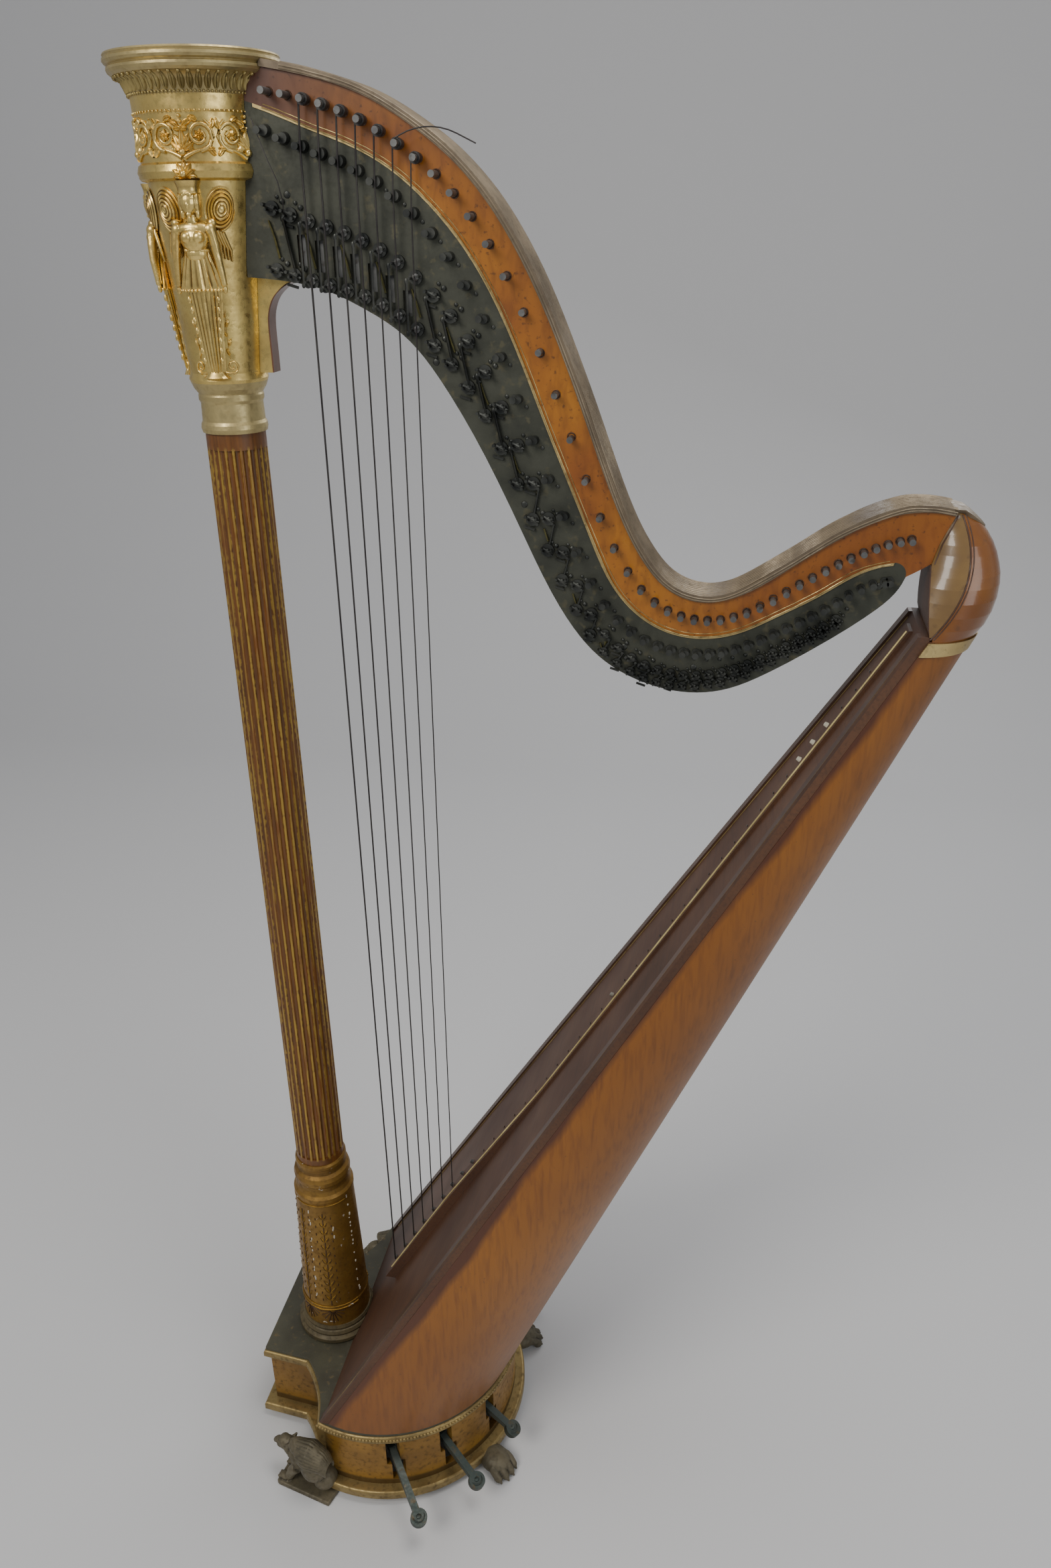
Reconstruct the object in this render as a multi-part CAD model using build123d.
from build123d import *
from math import atan, atan2, cos, degrees, radians, sin, sqrt, tan
import os

# Concert pedal harp.  Everything is drawn from the column's axis (x = 0, y = 0) with the floor at
# z = 0, and save() then moves it so that the origin is the middle of the whole harp's footprint.
# +X runs from the column towards the soundbox, -Y is the string side, +Z is up.  Millimetres.

AXIS_TO_CENTRE = 328.0

# Base (pedal box)
BASE_BOTTOM = 14.0
WALL_BOTTOM = 26.0
WALL_TOP = 118.0
BOARD_BOTTOM = 128.0
BASE_TOP = 134.0
DRUM_X = 85.0
DRUM_R = 174.0
WALL = 10.0
PLINTH_FRONT_X = -80.0
PLINTH_HALF = 72.0
PLINTH_BACK_X = -14.0
PLINTH_BACK_HALF = 78.0
CORNER_X = 34.0
MOULD_OUT = 7.0
BORE_R = 23.0

# Pedals: note, direction in degrees, tip radius from the column's axis, radius of the rod end
PEDALS = (
    ("D", -51.5, 300.0, 19.0),
    ("C", -34.0, 304.0, 12.0),
    ("B", -16.5, 298.0, 19.0),
    ("E", 29.0, 325.0, 19.0),
    ("F", 39.5, 312.0, 12.0),
    ("G", 50.0, 298.0, 19.0),
    ("A", 60.5, 272.0, 12.0),
)
PEDAL_TURN = 7.0
PEDAL_Z = 80.0
PEDAL_THICK = 9.0
BLADE_THICK = 2.4
HUB_THICK = 4.0
PIVOT_R = 3.0
PIVOT_GAP = 0.05
TIP_Z = 55.0
PADDLE_R = 11.0
SLOT_WIDTH = 17.0
SLOT_STEP = 6.0

# Neck discs: one crank lifts as its pedal goes down
DISC_TURN = 45.0
CRANK_R = 9.0
SWING = CRANK_R * (1 - cos(radians(DISC_TURN / 2))) / 2
LINK_TRAVEL = 2 * CRANK_R * sin(radians(DISC_TURN / 2))
LEVER_ARM = LINK_TRAVEL / sin(radians(PEDAL_TURN))

# Column and capital
PEDESTAL_TOP = 388.0
SHAFT_BOTTOM = 445.0
SHAFT_TOP = 1392.0
SHAFT_R_LOW = 31.5
SHAFT_R_TOP = 29.8
FLUTES = 24
BELL_BOTTOM = 1440.0
BELL_TOP = 1614.0
CORNICE_BOTTOM = 1681.0
CORNICE_TOP = 1715.0
CORNICE_R = 78.0
FIGURE_ANGLES = (-83.0, 180.0, 83.0)

# Soundbox: a half cone behind a board that leans back from the column's foot
BOARD_X0 = -44.0
BOARD_SLOPE = 0.593
BOARD_THICK = 8.0
BOARD_TOP = 1222.0
BOX_TOP = 1218.0
BOX_WALL = 6.0
HALF_LOW = 174.0
HALF_TOP = 49.0
HALF_SWELL = 32.0
DEPTH_LOW = 221.0
DEPTH_TOP = 48.0
LEAN = atan(BOARD_SLOPE)
BOARD_STEP = BOARD_THICK / cos(LEAN)
BOARD_STATIONS = (110.0, 300.0, 520.0, 740.0, 960.0, 1240.0)
HOOPS = (400.0, 660.0, 920.0)
SOUND_HOLES = ((310.0, 60.0, 120.0), (540.0, 52.0, 110.0), (790.0, 44.0, 110.0), (1020.0, 34.0, 90.0))

# Neck
NECK_HALF = 22.0
PLATE_THICK = 2.5
TOP_BAND = 6.0
TOP_BAND_HALF = 25.0
BRACKET_HALF = 8.0
NECK_TOP = ((70, 1702), (115, 1693), (162, 1678), (206, 1653), (243, 1624), (278, 1583), (313, 1522),
            (350, 1434), (390, 1329), (417, 1278), (444, 1250), (477, 1240), (509, 1247), (557, 1277),
            (604, 1309), (650, 1330), (677, 1333), (700, 1330))
PLATE_TOP = ((40, 1680), (77, 1669), (113, 1655), (148, 1642), (184, 1623), (218, 1595), (253, 1554),
             (289, 1489), (325, 1401), (364, 1307), (391, 1251), (418, 1223), (446, 1209), (477, 1205),
             (511, 1212), (548, 1231), (584, 1252), (619, 1275), (651, 1285))
PLATE_LOW = ((40, 1534), (80, 1530), (113, 1523), (150, 1507), (187, 1484), (224, 1440), (260, 1379),
             (298, 1301), (338, 1223), (379, 1175), (421, 1153), (462, 1145), (502, 1150), (540, 1168),
             (589, 1200), (636, 1236), (657, 1259), (662, 1270))
PLATE_END = (660.5, 1280.5)
WOOD_LAP = 16.0
BLOCK_END_X = 84.0
NECK_JOINT = ((700, 1330), (689, 1304), (684, 1285))
NECK_HEEL = ((684, 1285), (675, 1279), (663, 1272))

# Strings: 44 tuning pins; the third to the ninth still carry a string
PIN_COUNT = 44
FIRST_STRUNG = 2
NOTES = ("G", "A", "B", "C", "D", "E", "F")
PIN_X0 = 77.5
PIN_PITCH = 17.2
PIN_CLOSING = 0.083
PIN_DROP = 18.0
NUT_DROP = 17.0
FOOT_X0 = 63.5
FOOT_PITCH = 15.3
FOOT_CLOSING = 0.042
STRING_Y = -31.0
STRING_R_FIRST = 0.95
STRING_R_STEP = 0.05
LAST_DISC_PIN = 39
TUNING_R = 3.0
DISC_R = 6.3
SPINDLE_R = 2.2


def save(shape, node):
    """Write one node, a shape or a list of them, moved so that the harp's footprint is centred."""
    shapes = shape if isinstance(shape, list) else [shape]
    solids = [Pos(-AXIS_TO_CENTRE, 0, 0) * solid for item in shapes for solid in item.solids()]
    whole = solids[0] if len(solids) == 1 else Compound(children=solids)
    export_step(whole, f"parts/{node}.step")


def at_xz(points, y=0.0):
    return [(x, y, z) for x, z in points]


def box_at(x0, x1, y0, y1, z0, z1):
    centre = Pos((x0 + x1) / 2, (y0 + y1) / 2, (z0 + z1) / 2)
    return centre * Box(x1 - x0, y1 - y0, z1 - z0)


def rod(start, end, radius):
    """A round bar from one point to another."""
    a, b = Vector(*start), Vector(*end)
    return Part(Solid.make_cylinder(radius, (b - a).length, Plane(origin=a, z_dir=b - a)).wrapped)


def turned(profile):
    """Revolve an outline of (radius, height) points round the column's axis."""
    wire = Polyline(*at_xz(profile), close=True)
    return revolve(Face(Wire(wire.edges())), axis=Axis.Z)


def slab(edges, y0, y1):
    """Extrude a closed outline in the XZ plane from y0 to y1."""
    face = Face(Wire(edges))
    return Pos(0, y0, 0) * extrude(face, amount=y1 - y0, dir=(0, 1, 0))


# ---------------------------------------------------------------- base

def base_face(z, out=0.0):
    """The base's plan at height z, grown by out: a plinth that sweeps out into a round drum."""
    drum_r = DRUM_R + out
    corner_y = sqrt(drum_r ** 2 - (CORNER_X - out - DRUM_X) ** 2)
    front = PLINTH_FRONT_X - out
    back = (PLINTH_BACK_X - out, PLINTH_BACK_HALF + out)
    corner = (CORNER_X - out, corner_y)
    sweep = ((back[0] + corner[0]) / 2 - 9, (back[1] + corner[1]) / 2 + 9)
    edges = [
        Line((front, -PLINTH_HALF - out, z), (back[0], -back[1], z)),
        ThreePointArc((back[0], -back[1], z), (sweep[0] + 16, -sweep[1] + 12, z), (corner[0], -corner[1], z)),
        ThreePointArc((corner[0], -corner[1], z), (DRUM_X + drum_r, 0, z), (corner[0], corner[1], z)),
        ThreePointArc((corner[0], corner[1], z), (sweep[0] + 16, sweep[1] - 12, z), (back[0], back[1], z)),
        Line((back[0], back[1], z), (front, PLINTH_HALF + out, z)),
        Line((front, PLINTH_HALF + out, z), (front, -PLINTH_HALF - out, z)),
    ]
    return Face(Wire(edges))


def base_prism(z0, z1, out=0.0):
    return extrude(base_face(z0, out), amount=z1 - z0, dir=(0, 0, 1))


def drum_radius(angle, radius):
    """Distance from the column's axis to the drum's circle of this radius, in this direction."""
    a = radians(angle)
    return DRUM_X * cos(a) + sqrt(radius ** 2 - (DRUM_X * sin(a)) ** 2)


def make_base():
    walls = base_prism(WALL_BOTTOM, WALL_TOP) - base_prism(WALL_BOTTOM - 1, WALL_TOP + 1, -WALL)
    for _, angle, _, _ in PEDALS:
        middle = drum_radius(angle, DRUM_R - WALL / 2)
        high = box_at(middle - 20, middle + 20, -SLOT_WIDTH / 2 - SLOT_STEP / 2,
                      SLOT_WIDTH / 2 - SLOT_STEP / 2, 66, 112)
        low = box_at(middle - 20, middle + 20, -SLOT_WIDTH / 2 + SLOT_STEP / 2,
                     SLOT_WIDTH / 2 + SLOT_STEP / 2, 36, 74)
        walls -= Rot(0, 0, angle) * (high + low)
    save(walls, "base_walls")

    upper = base_prism(WALL_TOP, BOARD_BOTTOM, MOULD_OUT) - base_prism(WALL_TOP - 1, BOARD_BOTTOM + 1, -WALL)
    lower = base_prism(BASE_BOTTOM, WALL_BOTTOM, MOULD_OUT * 2)
    lower -= base_prism(BASE_BOTTOM - 1, WALL_BOTTOM + 1, -WALL)
    rounded = []
    for ring in (upper, lower):
        top = ring.edges().filter_by_position(Axis.Z, ring.bounding_box().max.Z - 0.1,
                                              ring.bounding_box().max.Z + 0.1)
        outer = [e for e in top if e.center().X < -85 or abs(e.center().Y) > 76 or e.center().X > 256]
        try:
            rounded.append(fillet(outer, 3.5))
        except ValueError:
            rounded.append(ring)
    save(rounded, "base_mouldings")

    board = base_prism(BOARD_BOTTOM, BASE_TOP, 4.0) - Pos(0, 0, BASE_TOP) * Cylinder(BORE_R, 20)
    save(board, "base_top_board")


def make_griffin(side):
    """A small griffin that faces forward: forelegs on the floor, chest, beaked head and folded wing."""
    along = Rot(0, 0, side * 12)
    parts = [box_at(-8, 50, -24, 24, 0, BASE_BOTTOM), box_at(-42, 0, -19, 19, 0, 7)]
    for y in (-11, 11):
        parts.append(rod((-30, y, 4), (-20, y, 40), 6.5))
        parts.append(Pos(-33, y, 5.5) * Sphere(8.5))
    parts.append(Pos(-12, 0, 36) * Sphere(19))
    parts.append(Pos(6, 0, 34) * Sphere(22))
    parts.append(rod((-16, 0, 40), (-26, 0, 66), 11))
    parts.append(Pos(-27, 0, 68) * Sphere(13))
    parts.append(Part(Solid.make_cone(7, 1.5, 15, Plane(origin=(-37, 0, 66), z_dir=(-0.8, 0, -0.6))).wrapped))
    parts.append(Pos(4, side * 14, 44) * Rot(0, 62, 0) * Cylinder(12, 44))
    parts.append(Pos(18, side * 12, 80) * Sphere(23))
    parts.append(rod((18, side * 12, 30), (18, side * 12, 80), 17))
    parts.append(rod((-20, 0, 66), (14, side * 10, 86), 13))
    griffin = parts[0]
    for piece in parts[1:]:
        griffin += piece
    griffin = Pos(4, side * 170, 0) * along * griffin
    griffin -= box_at(-200, 300, -300, 300, -60, 0)
    griffin -= base_prism(BASE_BOTTOM, BASE_TOP + 1, MOULD_OUT * 2 + 0.2)
    return griffin.solids().sort_by(SortBy.VOLUME)[-1]


def make_paw(side):
    """A lion's paw that points away from the drum's centre."""
    paw = box_at(150, 214, -20, 20, 0, BASE_BOTTOM) + Pos(198, 0, 10) * Sphere(18)
    for y in (-15.5, -5.2, 5.2, 15.5):
        toe = Pos(222 - abs(y) * 0.4, y, 8.5) * Cylinder(7.5, 17)
        paw += fillet(toe.edges().group_by(Axis.Z)[-1], 6)
    paw -= box_at(100, 300, -60, 60, -30, 0)
    paw = Pos(DRUM_X, 0, 0) * Rot(0, 0, side * 31) * paw
    paw -= base_prism(BASE_BOTTOM, BASE_TOP + 1, MOULD_OUT * 2 + 0.2)
    return paw.solids().sort_by(SortBy.VOLUME)[-1]


def make_feet():
    save([make_griffin(side) for side in (-1, 1)], "griffin_feet")
    save([make_paw(side) for side in (-1, 1)], "lion_paws")


# ---------------------------------------------------------------- pedals

def pivot_radius(rod_radius):
    return rod_radius + LEVER_ARM


def make_pedal(note, angle, tip_radius, rod_radius):
    pivot = pivot_radius(rod_radius)
    bend = drum_radius(angle, DRUM_R) - 12
    blade = box_at(rod_radius - 2.5, pivot + 26, -BLADE_THICK / 2, BLADE_THICK / 2,
                   PEDAL_Z - 4, PEDAL_Z + 4)
    hub = Pos(pivot, 0, PEDAL_Z) * Rot(90, 0, 0) * Cylinder(8, HUB_THICK)
    last = tip_radius - PADDLE_R
    profile = ((pivot + 20, PEDAL_Z - 5), (pivot + 20, PEDAL_Z + 5), (bend, PEDAL_Z + 6),
               (last, TIP_Z + 4), (last, TIP_Z - 4), (bend - 2, PEDAL_Z - 4))
    bar = slab(Polyline(*at_xz(profile), close=True).edges(), -PEDAL_THICK / 2, PEDAL_THICK / 2)
    slope = degrees(atan2(PEDAL_Z - TIP_Z, last - bend))
    paddle = Pos(last, 0, TIP_Z) * Rot(0, slope, 0) * Cylinder(PADDLE_R, 8)
    pedal = blade + hub + bar + paddle
    pedal -= Pos(pivot, 0, PEDAL_Z) * Rot(90, 0, 0) * Cylinder(PIVOT_R + PIVOT_GAP, 20)
    save(Rot(0, 0, angle) * pedal, f"pedal_{note}")


def make_pedal_frame():
    """The iron plate that hangs the pedals, their pivot pins and return springs."""
    plates, pins, springs = [], [], []
    ear_thick = 2.2
    ear_y = HUB_THICK / 2 + 0.3
    spring_width = 2.0
    for _, angle, _, rod_radius in PEDALS:
        pivot = pivot_radius(rod_radius)
        for y0, y1 in ((-ear_y - ear_thick, -ear_y), (ear_y + spring_width + 0.4, ear_y + spring_width + 0.4 + ear_thick)):
            ear = box_at(pivot - 6, pivot + 6, y0, y1, PEDAL_Z, BOARD_BOTTOM - 6)
            ear += Pos(pivot, (y0 + y1) / 2, PEDAL_Z) * Rot(90, 0, 0) * Cylinder(6, ear_thick)
            ear -= Pos(pivot, 0, PEDAL_Z) * Rot(90, 0, 0) * Cylinder(PIVOT_R, 60)
            plates.append(Rot(0, 0, angle) * ear)
        pin = Pos(pivot, 1.0, PEDAL_Z) * Rot(90, 0, 0) * Cylinder(PIVOT_R, HUB_THICK + 2 * ear_thick + spring_width + 1.4)
        pins.append(Rot(0, 0, angle) * pin)
        coil = Cylinder(6.8, spring_width) - Cylinder(4.2, spring_width + 1)
        coil = Pos(pivot, ear_y + 0.2 + spring_width / 2, PEDAL_Z) * Rot(90, 0, 0) * coil
        leg = box_at(pivot - 6.8, pivot - 4.8, ear_y + 0.2, ear_y + 0.2 + spring_width, PEDAL_Z, BOARD_BOTTOM - 6)
        springs.append(Rot(0, 0, angle) * (coil + leg))
    plate = Cylinder(96, 6) - Cylinder(40, 8)
    plate -= box_at(-100, 8, -100, 100, -10, 10)
    plate = Pos(0, 0, BOARD_BOTTOM - 3) * plate
    plate &= base_prism(0, BASE_TOP, -WALL - 0.5)
    for ear in plates:
        plate += ear
    save(plate, "pedal_bracket")
    save(pins + springs, "pedal_pins_and_springs")


# ---------------------------------------------------------------- column

def board_x(z):
    """The soundboard's front face on the harp's centre plane."""
    return BOARD_X0 + BOARD_SLOPE * z


def make_column():
    rings = turned(((BORE_R, BASE_TOP), (54, BASE_TOP), (56, 137), (56, 142), (53, 145), (52, 146), (52.5, 149),
                    (50.5, 153), (49, 154), (49.5, 157), (48, 161), (BORE_R, 161)))
    behind = ((board_x(120) - 0.4, 120), (board_x(200) - 0.4, 200), (200, 200), (200, 120))
    rings -= slab(Polyline(*at_xz(behind), close=True).edges(), -80, 80)
    save(rings, "column_foot_rings")

    pedestal = turned(((BORE_R, 161), (46.5, 161), (46, 190), (46.5, 192), (46.5, 196), (45.4, 198), (39.5, 384),
                       (40.5, 386), (40.5, 392), (37.5, 396), (35.5, 402), (35.5, 408), (37.5, 412), (38, 418),
                       (36.5, 424), (33, 428), (32.5, 436), (34, 438), (34, 442), (32.5, 445), (BORE_R, 445)))
    behind = ((board_x(120) - 0.4, 120), (board_x(460) - 0.4, 460), (400, 460), (400, 120))
    pedestal -= slab(Polyline(*at_xz(behind), close=True).edges(), -80, 80)
    save(pedestal, "column_pedestal")

    shaft = turned(((BORE_R, SHAFT_BOTTOM), (SHAFT_R_LOW, SHAFT_BOTTOM), (SHAFT_R_TOP, SHAFT_TOP),
                    (BORE_R, SHAFT_TOP)))
    grooves = []
    for i in range(FLUTES):
        a = 2 * 3.141592653589793 * (i + 0.5) / FLUTES
        low = ((SHAFT_R_LOW + 0.6) * cos(a), (SHAFT_R_LOW + 0.6) * sin(a), SHAFT_BOTTOM + 10)
        high = ((SHAFT_R_TOP + 0.6) * cos(a), (SHAFT_R_TOP + 0.6) * sin(a), SHAFT_TOP - 16)
        grooves.append(rod(low, high, 2.9))
    save(shaft - grooves, "column_shaft")

    collar = turned(((BORE_R, SHAFT_TOP), (32, SHAFT_TOP), (33, 1396), (32.5, 1400), (31, 1403), (30.5, 1420),
                     (32, 1423), (32, 1427), (31.5, 1429), (35, 1434), (37.5, BELL_BOTTOM), (BORE_R, BELL_BOTTOM)))
    save(collar, "capital_collar")


def capital_profile(gap=0.0):
    """Outline of the capital's body, from the bell up to the frieze, grown by gap."""
    r = ((37.5, BELL_BOTTOM), (38.5, 1443), (37, 1449), (42, 1510), (50.5, 1595), (52.5, BELL_TOP),
         (58.5, 1616), (60.5, 1621.5), (59, 1627), (56.5, 1629), (56, 1648), (56.5, 1667), (58, 1669),
         (58.5, CORNICE_BOTTOM))
    return [(radius + gap, z) for radius, z in r]


def cornice_profile(gap=0.0):
    r = ((58.5, CORNICE_BOTTOM), (59.5, 1684), (60, 1688), (63, 1693), (69, 1696.8), (72, 1697.5),
         (75.5, 1701), (75.5, 1705), (CORNICE_R, 1708), (CORNICE_R - 0.5, CORNICE_TOP))
    return [(radius + gap, z) for radius, z in r]


def capital_envelope(gap):
    """The capital as one solid body, for cutting the neck back from it."""
    outline = [(0, BELL_BOTTOM - 4), (37.5 + gap, BELL_BOTTOM - 4)] + capital_profile(gap)
    outline += cornice_profile(gap)[1:]
    outline += [(0, CORNICE_TOP)]
    return turned(outline)


def make_capital():
    body = turned(capital_profile() + [(BORE_R, CORNICE_BOTTOM), (BORE_R, BELL_BOTTOM)])
    save(body, "capital_body")
    cornice = turned(cornice_profile() + [(0, CORNICE_TOP), (0, CORNICE_TOP - 6), (BORE_R, CORNICE_TOP - 6),
                                          (BORE_R, CORNICE_BOTTOM)])
    save(cornice, "capital_cornice")


def make_figures():
    """Three winged women stand round the bell: one faces forward and one to each side of the neck."""
    core = turned([(0, BELL_BOTTOM - 4), (37.6, BELL_BOTTOM - 4)] + capital_profile(0.1) + [(0, CORNICE_BOTTOM)])
    neck_room = box_at(24, 140, -23.5, 23.5, 1400, CORNICE_TOP)
    figures = []
    for angle in FIGURE_ANGLES:
        skirt = Solid.make_cone(10, 17, 76, Plane(origin=(34, 0, 1450), z_dir=(0.1, 0, 1)))
        figure = Part(skirt.wrapped)
        figure += Solid.make_cone(19.5, 11, 38, Plane(origin=(41, 0, 1524), z_dir=(0.12, 0, 1)))
        figure += Pos(51, 0, 1569) * Rot(0, 6, 0) * Cylinder(12, 28)
        figure += Pos(56, 0, 1598) * Sphere(11)
        figure += Pos(56, 0, 1609) * Cylinder(11, 10)
        figure += rod((52, 0, 1580), (55, 0, 1593), 5)
        for side in (-1, 1):
            figure += rod((50, side * 15, 1578), (51, side * 19, 1552), 3.8)
            figure += rod((51, side * 19, 1552), (48, side * 21, 1528), 3.2)
            figure += Rot(0, 0, side * 27) * Pos(51.5, 0, 1592) * Rot(0, 90, 0) * Cylinder(15, 8)
        figure = Rot(0, 0, angle) * figure - core - neck_room
        figures += [solid for solid in figure.solids() if solid.volume > 40]
    save(figures, "capital_figures")


# ---------------------------------------------------------------- soundbox

def box_share(z):
    return (z - BASE_TOP) / (BOX_TOP - BASE_TOP)


def box_half(z):
    share = box_share(z)
    return HALF_LOW + (HALF_TOP - HALF_LOW) * share + HALF_SWELL * share * (1 - share)


def box_depth(z):
    return DEPTH_LOW + (DEPTH_TOP - DEPTH_LOW) * box_share(z)


def box_face(z, inset=0.0, front=0.0):
    """The soundbox's D-shaped section at height z, grown inwards by inset and forwards by front."""
    radius = (box_half(z) ** 2 + box_depth(z) ** 2) / (2 * box_depth(z))
    centre = board_x(z) + BOARD_STEP + box_depth(z) - radius
    x0 = board_x(z) + BOARD_STEP + 0.1 - front
    half = sqrt((radius - inset) ** 2 - (x0 - centre) ** 2)
    back = centre + radius - inset
    arc = ThreePointArc((x0, -half, z), (back, 0, z), (x0, half, z))
    return Face(Wire([arc, Line((x0, half, z), (x0, -half, z))]))


def back_x(z):
    return board_x(z) + BOARD_STEP + box_depth(z)


def make_soundbox():
    heights = [BASE_TOP + (BOX_TOP - BASE_TOP) * i / 5 for i in range(6)]
    outer = loft([box_face(z) for z in heights], ruled=True)
    heights[0] -= 0.01
    heights[-1] += 0.01
    inner = loft([box_face(z, BOX_WALL, 30) for z in heights], ruled=True)
    shell = outer - inner
    for z, width, height in SOUND_HOLES:
        hole = Plane(origin=(back_x(z) - 70, 0, z), x_dir=(0, 1, 0), z_dir=(1, 0, 0))
        slot = extrude(hole * Rot(0, 0, 90) * SlotOverall(height, width), amount=140)
        shell -= slot
    save(shell.solids().sort_by(SortBy.VOLUME)[-1], "soundbox_shell")

    hoops = []
    for z in HOOPS:
        hoop = loft([box_face(z, BOX_WALL + 0.4), box_face(z + 10, BOX_WALL + 0.4)], ruled=True)
        hoop -= Pos(0, 0, -1) * extrude(box_face(z + 10, BOX_WALL + 16, 30), amount=14, dir=(0, 0, -1))
        hoops.append(hoop)
    save(hoops, "soundbox_hoops")

    board = board_sheet(0.0, 0.0, BOARD_THICK)
    save(board, "soundboard")
    edges = board_sheet(0.0, -3.0, 0.0) - board_sheet(13.0, -4.0, 1.0)
    edges -= box_at(-200, 900, -30, 30, 0, 1400)
    save(edges, "soundboard_edges")


def board_sheet(inset, front, back):
    """A sheet with the soundboard's outline, from front to back measured behind its face."""
    left = [(board_x(z), -(box_half(z) - inset), z) for z in BOARD_STATIONS]
    right = [(board_x(z), box_half(z) - inset, z) for z in reversed(BOARD_STATIONS)]
    edges = [Spline(*left), Line(left[-1], right[0]), Spline(*right), Line(right[-1], left[0])]
    inward = Vector(cos(LEAN), 0, -sin(LEAN))
    face = Face(Wire(edges)).moved(Location(inward * front))
    sheet = extrude(face, amount=back - front, dir=tuple(inward))
    sheet -= box_at(-200, 900, -300, 300, 0, BASE_TOP)
    return sheet - box_at(-200, 900, -300, 300, BOARD_TOP, 1400)


def rib_rise(z):
    """Height of the string rib above the board: the board has bellied up under the bass strings."""
    if z < 400:
        return 12.0
    if z < 600:
        return 12.0 - 9.0 * (z - 400) / 200
    return 3.0


def rib_x(z):
    return board_x(z) - rib_rise(z) / cos(LEAN)


def make_rib():
    stations = (236, 400, 600, 1216)
    front = [(rib_x(z), z) for z in stations]
    back = [(board_x(z) - 0.02, z) for z in reversed(stations)]
    rib = slab(Polyline(*at_xz(front + back), close=True).edges(), -12, 14)
    save(rib, "string_rib")


def foot_x(i):
    """Where string i leaves the soundboard."""
    return FOOT_X0 + FOOT_PITCH * i - FOOT_CLOSING * i * i


def foot_z(i):
    """The height on the rib at which its face has that x."""
    low, high = 150.0, 1250.0
    for _ in range(40):
        middle = (low + high) / 2
        if rib_x(middle) < foot_x(i):
            low = middle
        else:
            high = middle
    return low


def make_pegs():
    """Pegs hold the strings' knots.  Only a few of them are left."""
    pegs = []
    left = list(range(FIRST_STRUNG, FIRST_STRUNG + len(NOTES))) + [9, 10, 23, 38, 39, 40]
    for i in left:
        z = foot_z(i)
        centre = Vector(rib_x(z) - 0.02, 7, z)
        plane = Plane(origin=centre, x_dir=(0, 1, 0), z_dir=(-cos(LEAN), 0, sin(LEAN)))
        slope_fix = 1.0 if 400 <= z <= 600 else 0.05
        pegs.append(Part(Solid.make_cone(2.8, 2.2, 3.5, Plane(origin=centre + plane.z_dir * slope_fix,
                                                             z_dir=plane.z_dir)).wrapped))
    save(pegs, "string_pegs")


def make_shoulder():
    """The block that joins the neck's end to the soundbox's top, and the brass band round the joint."""
    # height, front edge, back and half width of the front edge
    stations = ((BOX_TOP, 688, 736.5, 49.5), (1228, 686.5, 743, 47.5), (1240, 685.3, 747.5, 44.5),
                (1253, 684.4, 750, 40), (1266, 684.1, 750.5, 35), (1276, 684.1, 749.5, 30),
                (1285, 684.1, 747, 25.5), (1295, 686.75, 743.5, 23), (1304, 689.2, 739, 22.2),
                (1313, 693, 733, 22), (1321, 696.4, 726, 21.5), (1330, 700.2, 715, 20), (1335, 702.3, 708, 16))
    faces = []
    for z, front, back, half in stations:
        arc = ThreePointArc((front, -half, z), (back, 0, z), (front, half, z))
        faces.append(Face(Wire([arc, Line((front, half, z), (front, -half, z))])))
    block = loft(faces, ruled=True)
    block -= box_at(600, board_x(BOARD_TOP) + BOARD_STEP + 0.3, -90, 90, 1150, BOARD_TOP + 0.2)
    save(block.solids().sort_by(SortBy.VOLUME)[-1], "shoulder_block")

    z0, z1 = BOX_TOP - 14, BOX_TOP - 1
    outer = loft([box_face(z0, -2.6), box_face(z1, -2.6)], ruled=True)
    inner = loft([box_face(z0 - 1, -0.1, 9), box_face(z1 + 1, -0.1, 9)], ruled=True)
    save(outer - inner, "shoulder_band")


# ---------------------------------------------------------------- neck

def spline(points):
    return Spline(*at_xz(points))


TOP_CURVE = spline(NECK_TOP)
GOLD_CURVE = spline(PLATE_TOP)
LOW_CURVE = spline(PLATE_LOW)


def on_curve(curve, x):
    """The point of a left-to-right curve at this x, and its normal that points up and out."""
    low, high = 0.0, 1.0
    for _ in range(40):
        middle = (low + high) / 2
        if curve.position_at(middle).X < x:
            low = middle
        else:
            high = middle
    along = curve.tangent_at(low)
    return curve.position_at(low), Vector(-along.Z, 0, along.X)


def offset_points(curve, xs, distance):
    """Points beside a curve, at this distance to its upper side."""
    points = []
    for x in xs:
        p, normal = on_curve(curve, x)
        points.append((p.X + normal.X * distance, p.Z + normal.Z * distance))
    return points


def pin_place(i):
    x = PIN_X0 + PIN_PITCH * i - PIN_CLOSING * i * i
    drop = PIN_DROP + max(0.0, i - 34) * 0.8
    p, normal = on_curve(TOP_CURVE, x)
    guess = x
    for _ in range(6):
        p, normal = on_curve(TOP_CURVE, guess)
        guess += x - (p.X - normal.X * drop)
    return p.X - normal.X * drop, p.Z - normal.Z * drop


def nut_place(i):
    """Where string i crosses its nut, straight below its tuning pin."""
    x = pin_place(i)[0] - 6.0
    guess = x
    for _ in range(6):
        p, normal = on_curve(GOLD_CURVE, guess)
        guess += x - (p.X - normal.X * NUT_DROP)
        guess = min(max(guess, 42.0), 650.0)
    return p.X - normal.X * NUT_DROP, p.Z - normal.Z * NUT_DROP


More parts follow.
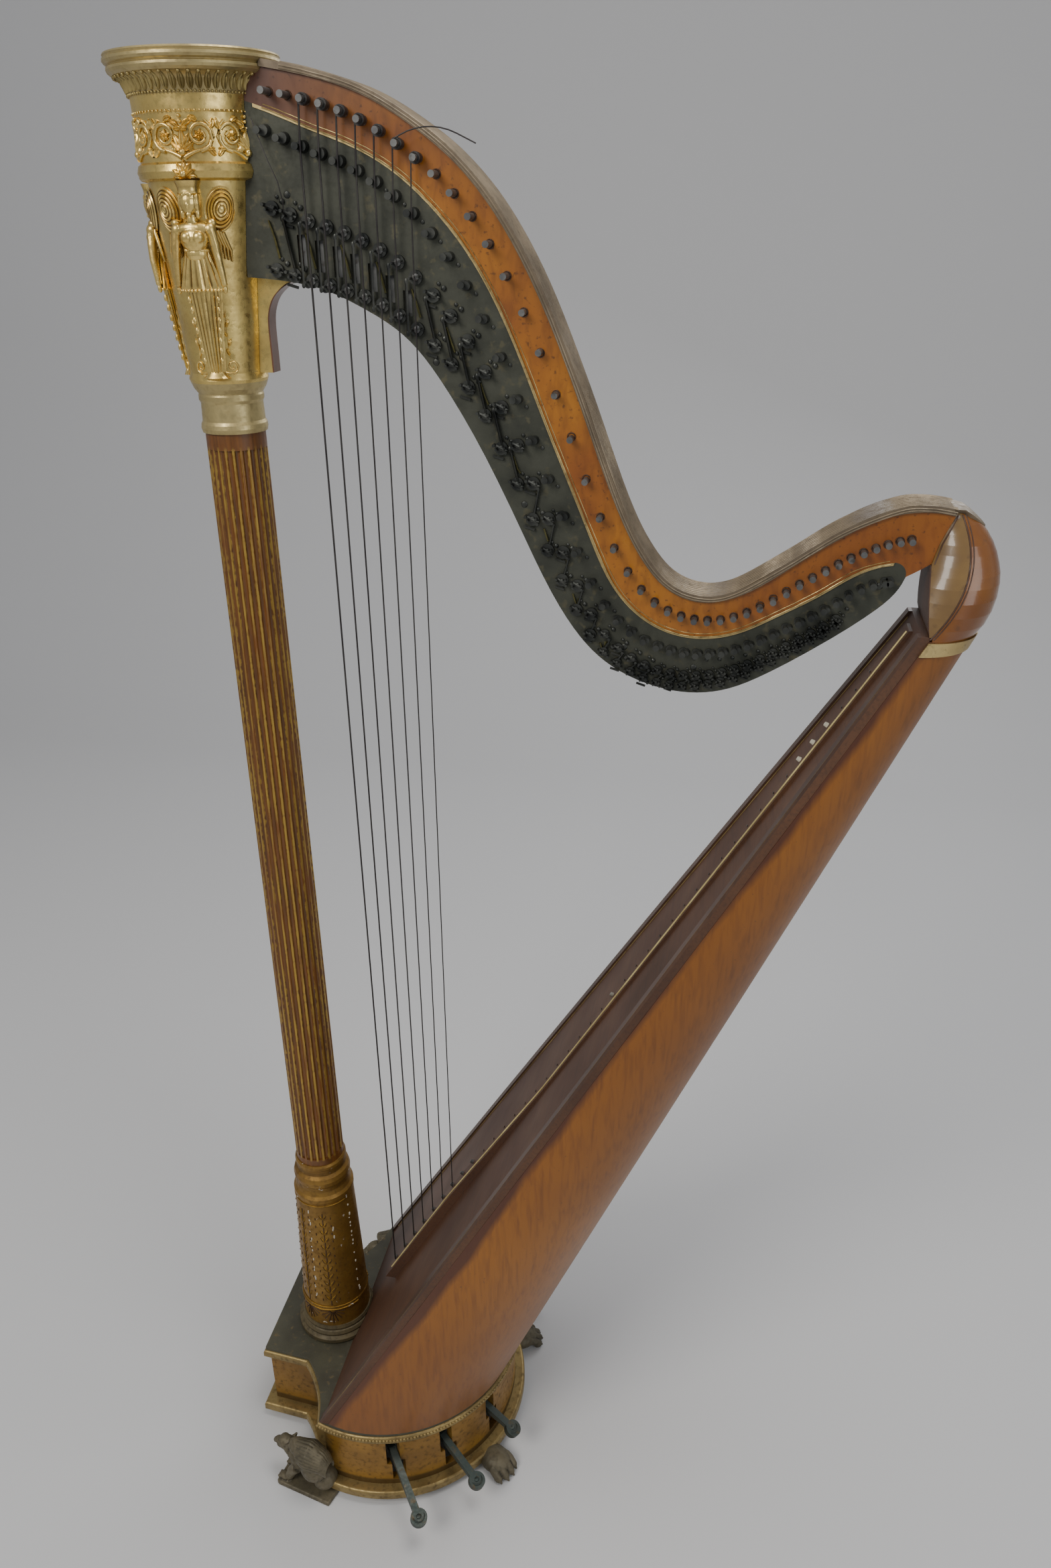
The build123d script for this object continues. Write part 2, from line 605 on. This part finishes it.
def string_line(i):
    """Foot, nut and length of string i."""
    foot = Vector(foot_x(i), 0, foot_z(i))
    nut_x, nut_z = nut_place(i)
    nut = Vector(nut_x, STRING_Y, nut_z)
    return foot, nut, (nut - foot).length


def disc_places(i):
    """Centres of the upper and lower disc of string i, on the string's line, in the XZ plane."""
    foot, nut, length = string_line(i)
    along = (foot - nut).normalized()
    places = []
    low_start = 22 if i < 16 else max(12.0, 22 - 1.6 * (i - 15))
    for drop in (11 + 0.035 * length, low_start + 0.063 * length):
        p = nut + along * drop
        places.append((p.X, p.Z))
    return places


def neck_wood():
    left = Line((40, 0, on_curve(GOLD_CURVE, 40.01)[0].Z), (40, 0, 1706))
    start = Line((40, 0, 1706), (70, 0, 1702))
    joint = Polyline(*at_xz(NECK_JOINT))
    heel = Spline(*at_xz(NECK_HEEL))
    into = Line((663, 0, 1272), (662, 0, 1270))
    end = ThreePointArc((662, 0, 1270), (PLATE_END[0], 0, PLATE_END[1]), (651, 0, 1285))
    left = Line((40, 0, 1680), (40, 0, 1706))
    upper = slab([left, start, TOP_CURVE] + list(joint.edges()) + [heel, into, end, GOLD_CURVE],
                 -NECK_HALF, NECK_HALF)
    lap = offset_points(GOLD_CURVE, (41, 77, 113, 148, 184, 218, 253, 289, 325, 364, 391, 418, 446, 477, 511,
                                     548, 584, 619, 640), -WOOD_LAP)
    core_half = NECK_HALF - PLATE_THICK
    ends = [Line((40, 0, 1680), (lap[0][0], 0, lap[0][1])), Line((lap[-1][0], 0, lap[-1][1]), (651, 0, 1285))]
    lower = slab([ends[0], spline(lap), ends[1], GOLD_CURVE], -core_half, core_half)
    block = slab([GOLD_CURVE, Line((40, 0, 1680), (40, 0, 1534)), LOW_CURVE,
                  ThreePointArc((662, 0, 1270), (PLATE_END[0], 0, PLATE_END[1]), (651, 0, 1285))],
                 -core_half, core_half)
    block &= box_at(0, BLOCK_END_X, -60, 60, 1400, 1700)
    return upper + lower + block


def plate_blank(y0, y1):
    return slab([GOLD_CURVE, Line((40, 0, 1680), (40, 0, 1534)), LOW_CURVE,
                 ThreePointArc((662, 0, 1270), (PLATE_END[0], 0, PLATE_END[1]), (651, 0, 1285))], y0, y1)


def cross(x, z, y0, y1, radius):
    """A round bar across the neck."""
    return rod((x, y0, z), (x, y1, z), radius)


def make_neck():
    envelope = capital_envelope(0.25)
    pins = [pin_place(i) for i in range(PIN_COUNT)]
    wood = neck_wood() - envelope
    wood -= [cross(x, z, -60, 60, TUNING_R + 0.05) for x, z in pins]
    save(wood.solids().sort_by(SortBy.VOLUME)[-1], "neck_wood")

    over = offset_points(TOP_CURVE, (71, 115, 162, 206, 243, 278, 313, 350, 390, 417, 444, 477, 509, 557, 604,
                                     650, 677, 696), TOP_BAND)
    band = slab([TOP_CURVE, Line((700, 0, 1330), (over[-1][0], 0, over[-1][1])), spline(over),
                 Line((over[0][0], 0, over[0][1]), (70, 0, 1702))], -TOP_BAND_HALF, TOP_BAND_HALF)
    band -= envelope
    save(band.solids().sort_by(SortBy.VOLUME)[-1], "neck_top_moulding")

    strung = range(FIRST_STRUNG, FIRST_STRUNG + len(NOTES))
    holes, windows = [], []
    for i in strung:
        for x, z in disc_places(i):
            holes.append(cross(x, z, -60, 60, SPINDLE_R + PIVOT_GAP))
    for i in range(FIRST_STRUNG + len(NOTES)):
        (ux, uz), (lx, lz) = disc_places(i)
        if lx - CRANK_R > BLOCK_END_X:
            middle = ((ux + lx) / 2 - CRANK_R, (uz + lz) / 2)
            windows.append(box_at(middle[0] - 4, middle[0] + 4, -40, -10, lz + 11, uz - 11))
    left = plate_blank(-NECK_HALF, -NECK_HALF + PLATE_THICK) - envelope - holes - windows
    right = plate_blank(NECK_HALF - PLATE_THICK, NECK_HALF) - envelope - holes
    save(left.solids().sort_by(SortBy.VOLUME)[-1], "left_action_plate")
    save(right.solids().sort_by(SortBy.VOLUME)[-1], "right_action_plate")

    beads = []
    inner = offset_points(GOLD_CURVE, (61, 77, 113, 148, 184, 218, 253, 289, 325, 364, 391, 418, 446, 477, 511,
                                       548, 584, 619, 650), -2.6)
    for side in (-1, 1):
        y0, y1 = sorted((side * NECK_HALF, side * (NECK_HALF + 1.4)))
        bead = slab([GOLD_CURVE, Line((651, 0, 1285), (inner[-1][0], 0, inner[-1][1])), spline(inner),
                     Line((inner[0][0], 0, inner[0][1]), (40, 0, 1680))], y0, y1)
        beads.append((bead - box_at(0, 62, -60, 60, 1500, 1800)).solids().sort_by(SortBy.VOLUME)[-1])
    save(beads, "plate_beading")

    under = [(x, on_curve(LOW_CURVE, x)[0].Z - 0.15) for x in (42, 50, 58, 66, 74, 78)]
    bracket_face = list(Polyline(*at_xz([(34, under[0][1])] + under)).edges())
    bracket_face += [ThreePointArc((78, 0, under[-1][1]), (57, 0, 1515), (50, 0, 1490)),
                     Line((50, 0, 1490), (50, 0, 1448)), Line((50, 0, 1448), (34, 0, 1448)),
                     Line((34, 0, 1448), (34, 0, under[0][1]))]
    bracket = slab(bracket_face, -BRACKET_HALF, BRACKET_HALF) - capital_envelope(0.2)
    save(bracket.solids().sort_by(SortBy.VOLUME)[-1], "neck_bracket")


def make_tuning_pins():
    pins = []
    for i in range(PIN_COUNT):
        x, z = pin_place(i)
        round_end = cross(x, z, -41 if i < 14 else -34, 30, TUNING_R)
        square = Pos(x, 36, z) * Box(4.2, 14, 4.2)
        pins.append(round_end + square)
    save(pins, "tuning_pins")


def make_nuts():
    """Grooved studs that set each string's open length.  Each stands just in front of its string."""
    nuts = []
    for i in range(PIN_COUNT):
        x, z = nut_place(i)
        x -= 3.6
        stud = cross(x, z, -NECK_HALF - 0.02, -35, 2.4) + cross(x, z, -NECK_HALF - 0.02, -24.5, 4.0)
        stud += cross(x, z, -33.5, -35.5, 3.2)
        nuts.append(stud)
    save(nuts, "string_nuts")


def make_fixed_discs():
    """Discs of the strings that are gone: upper and lower row, and spindle ends on the right plate."""
    parts = []
    for i in list(range(FIRST_STRUNG)) + list(range(FIRST_STRUNG + len(NOTES), LAST_DISC_PIN)):
        size = DISC_R if i < 20 else 4.6
        for x, z in disc_places(i):
            if x < 62:
                continue
            disc = cross(x, z, -NECK_HALF - 0.02, -25.8, size)
            for side in (-1, 1):
                disc += cross(x + side * size * 0.64, z + side * 1.0, -25.8, -32, 1.1)
            parts.append(disc)
            parts.append(cross(x, z, NECK_HALF + 0.02, NECK_HALF + 1.6, 2.2))
    save(parts, "unstrung_discs")


def make_action():
    """The seven working notes: two discs each, and the rod and link that turn them."""
    half_turn = radians(DISC_TURN / 2)
    pin_dx, pin_dz = -CRANK_R * cos(half_turn), -CRANK_R * sin(half_turn)
    for step, note in enumerate(NOTES):
        i = FIRST_STRUNG + step
        places = disc_places(i)
        for level, (x, z) in zip(("upper", "lower"), places):
            disc = cross(x, z, -NECK_HALF - 0.3, -25.8, DISC_R)
            disc += cross(x, z, -23, NECK_HALF + 1.6, SPINDLE_R)
            fork = radians(10)
            for side in (-1, 1):
                disc += cross(x + side * 4.2 * cos(fork), z + side * 4.2 * sin(fork), -25, -34, 1.1)
            hub_y0, hub_y1 = -19.2, -16.4
            disc += cross(x, z, hub_y0, hub_y1, 3.2)
            disc += cross(x + pin_dx, z + pin_dz, hub_y0, hub_y1, 2.5)
            arm = Box(CRANK_R, hub_y1 - hub_y0, 3.4)
            arm = Pos(x + pin_dx / 2, (hub_y0 + hub_y1) / 2, z + pin_dz / 2) * Rot(0, -DISC_TURN / 2, 0) * arm
            disc += arm
            disc += cross(x + pin_dx, z + pin_dz, hub_y1 - 0.5, -12.6, 1.1)
            save(disc, f"disc_{note}_{level}")

        (ux, uz), (lx, lz) = places
        high, low = (ux + pin_dx - SWING, uz + pin_dz), (lx + pin_dx - SWING, lz + pin_dz)
        length = sqrt((high[0] - low[0]) ** 2 + (high[1] - low[1]) ** 2)
        tilt = degrees(atan2(high[0] - low[0], high[1] - low[1]))
        middle = ((high[0] + low[0]) / 2, (high[1] + low[1]) / 2)
        link = Pos(middle[0], -14.5, middle[1]) * Rot(0, tilt, 0) * Box(4, 2.6, length)
        for x, z in (high, low):
            link += cross(x, z, -15.8, -13.2, 3.4)
        for x, z in (high, low):
            link -= cross(x, z, -30, -5, 2.0)
        angle, rod_radius = [(a, r) for n, a, _, r in PEDALS if n == note][0]
        foot = (rod_radius * cos(radians(angle)), rod_radius * sin(radians(angle)))
        column_rod = rod((foot[0], foot[1], PEDAL_Z + 4.6), (foot[0], foot[1], 1560), 1.6)
        save([column_rod, link], f"rod_{note}")


def make_strings():
    """Each string runs from the rib over its nut and winds round its tuning pin."""
    strings = []
    for step in range(len(NOTES)):
        i = FIRST_STRUNG + step
        radius = STRING_R_FIRST - STRING_R_STEP * step
        foot, nut, length = string_line(i)
        along = (nut - foot).normalized()
        start = foot + along * 3.0
        px, pz = pin_place(i)
        side = Vector(px - TUNING_R - 1.0, STRING_Y, pz)
        wire = rod(start, nut, radius)
        wire += rod(nut, side, radius)
        wire += Pos(nut) * Sphere(radius * 1.02)
        coil = cross(px, pz, STRING_Y - 3, STRING_Y + 3, TUNING_R + 2.0) - cross(px, pz, -60, 60, TUNING_R + 0.05)
        strings.append(wire + coil)
    tail_from = pin_place(7)
    tail = FilletPolyline((tail_from[0], STRING_Y - 5.2, tail_from[1] + TUNING_R + 1), (tail_from[0] + 30, STRING_Y - 6, tail_from[1] + 18),
                          (tail_from[0] + 72, STRING_Y - 8, tail_from[1] - 2), radius=60)
    path = Wire(tail.edges())
    section = Plane(origin=path.position_at(0), z_dir=path.tangent_at(0)) * Circle(0.6)
    strings.append(sweep(section, path=path))
    save(strings, "bass_strings")


def main():
    os.makedirs("parts", exist_ok=True)
    make_base()
    make_feet()
    for note, angle, tip_radius, rod_radius in PEDALS:
        make_pedal(note, angle, tip_radius, rod_radius)
    make_pedal_frame()
    make_column()
    make_capital()
    make_figures()
    make_soundbox()
    make_rib()
    make_pegs()
    make_shoulder()
    make_neck()
    make_tuning_pins()
    make_nuts()
    make_fixed_discs()
    make_action()
    make_strings()


main()
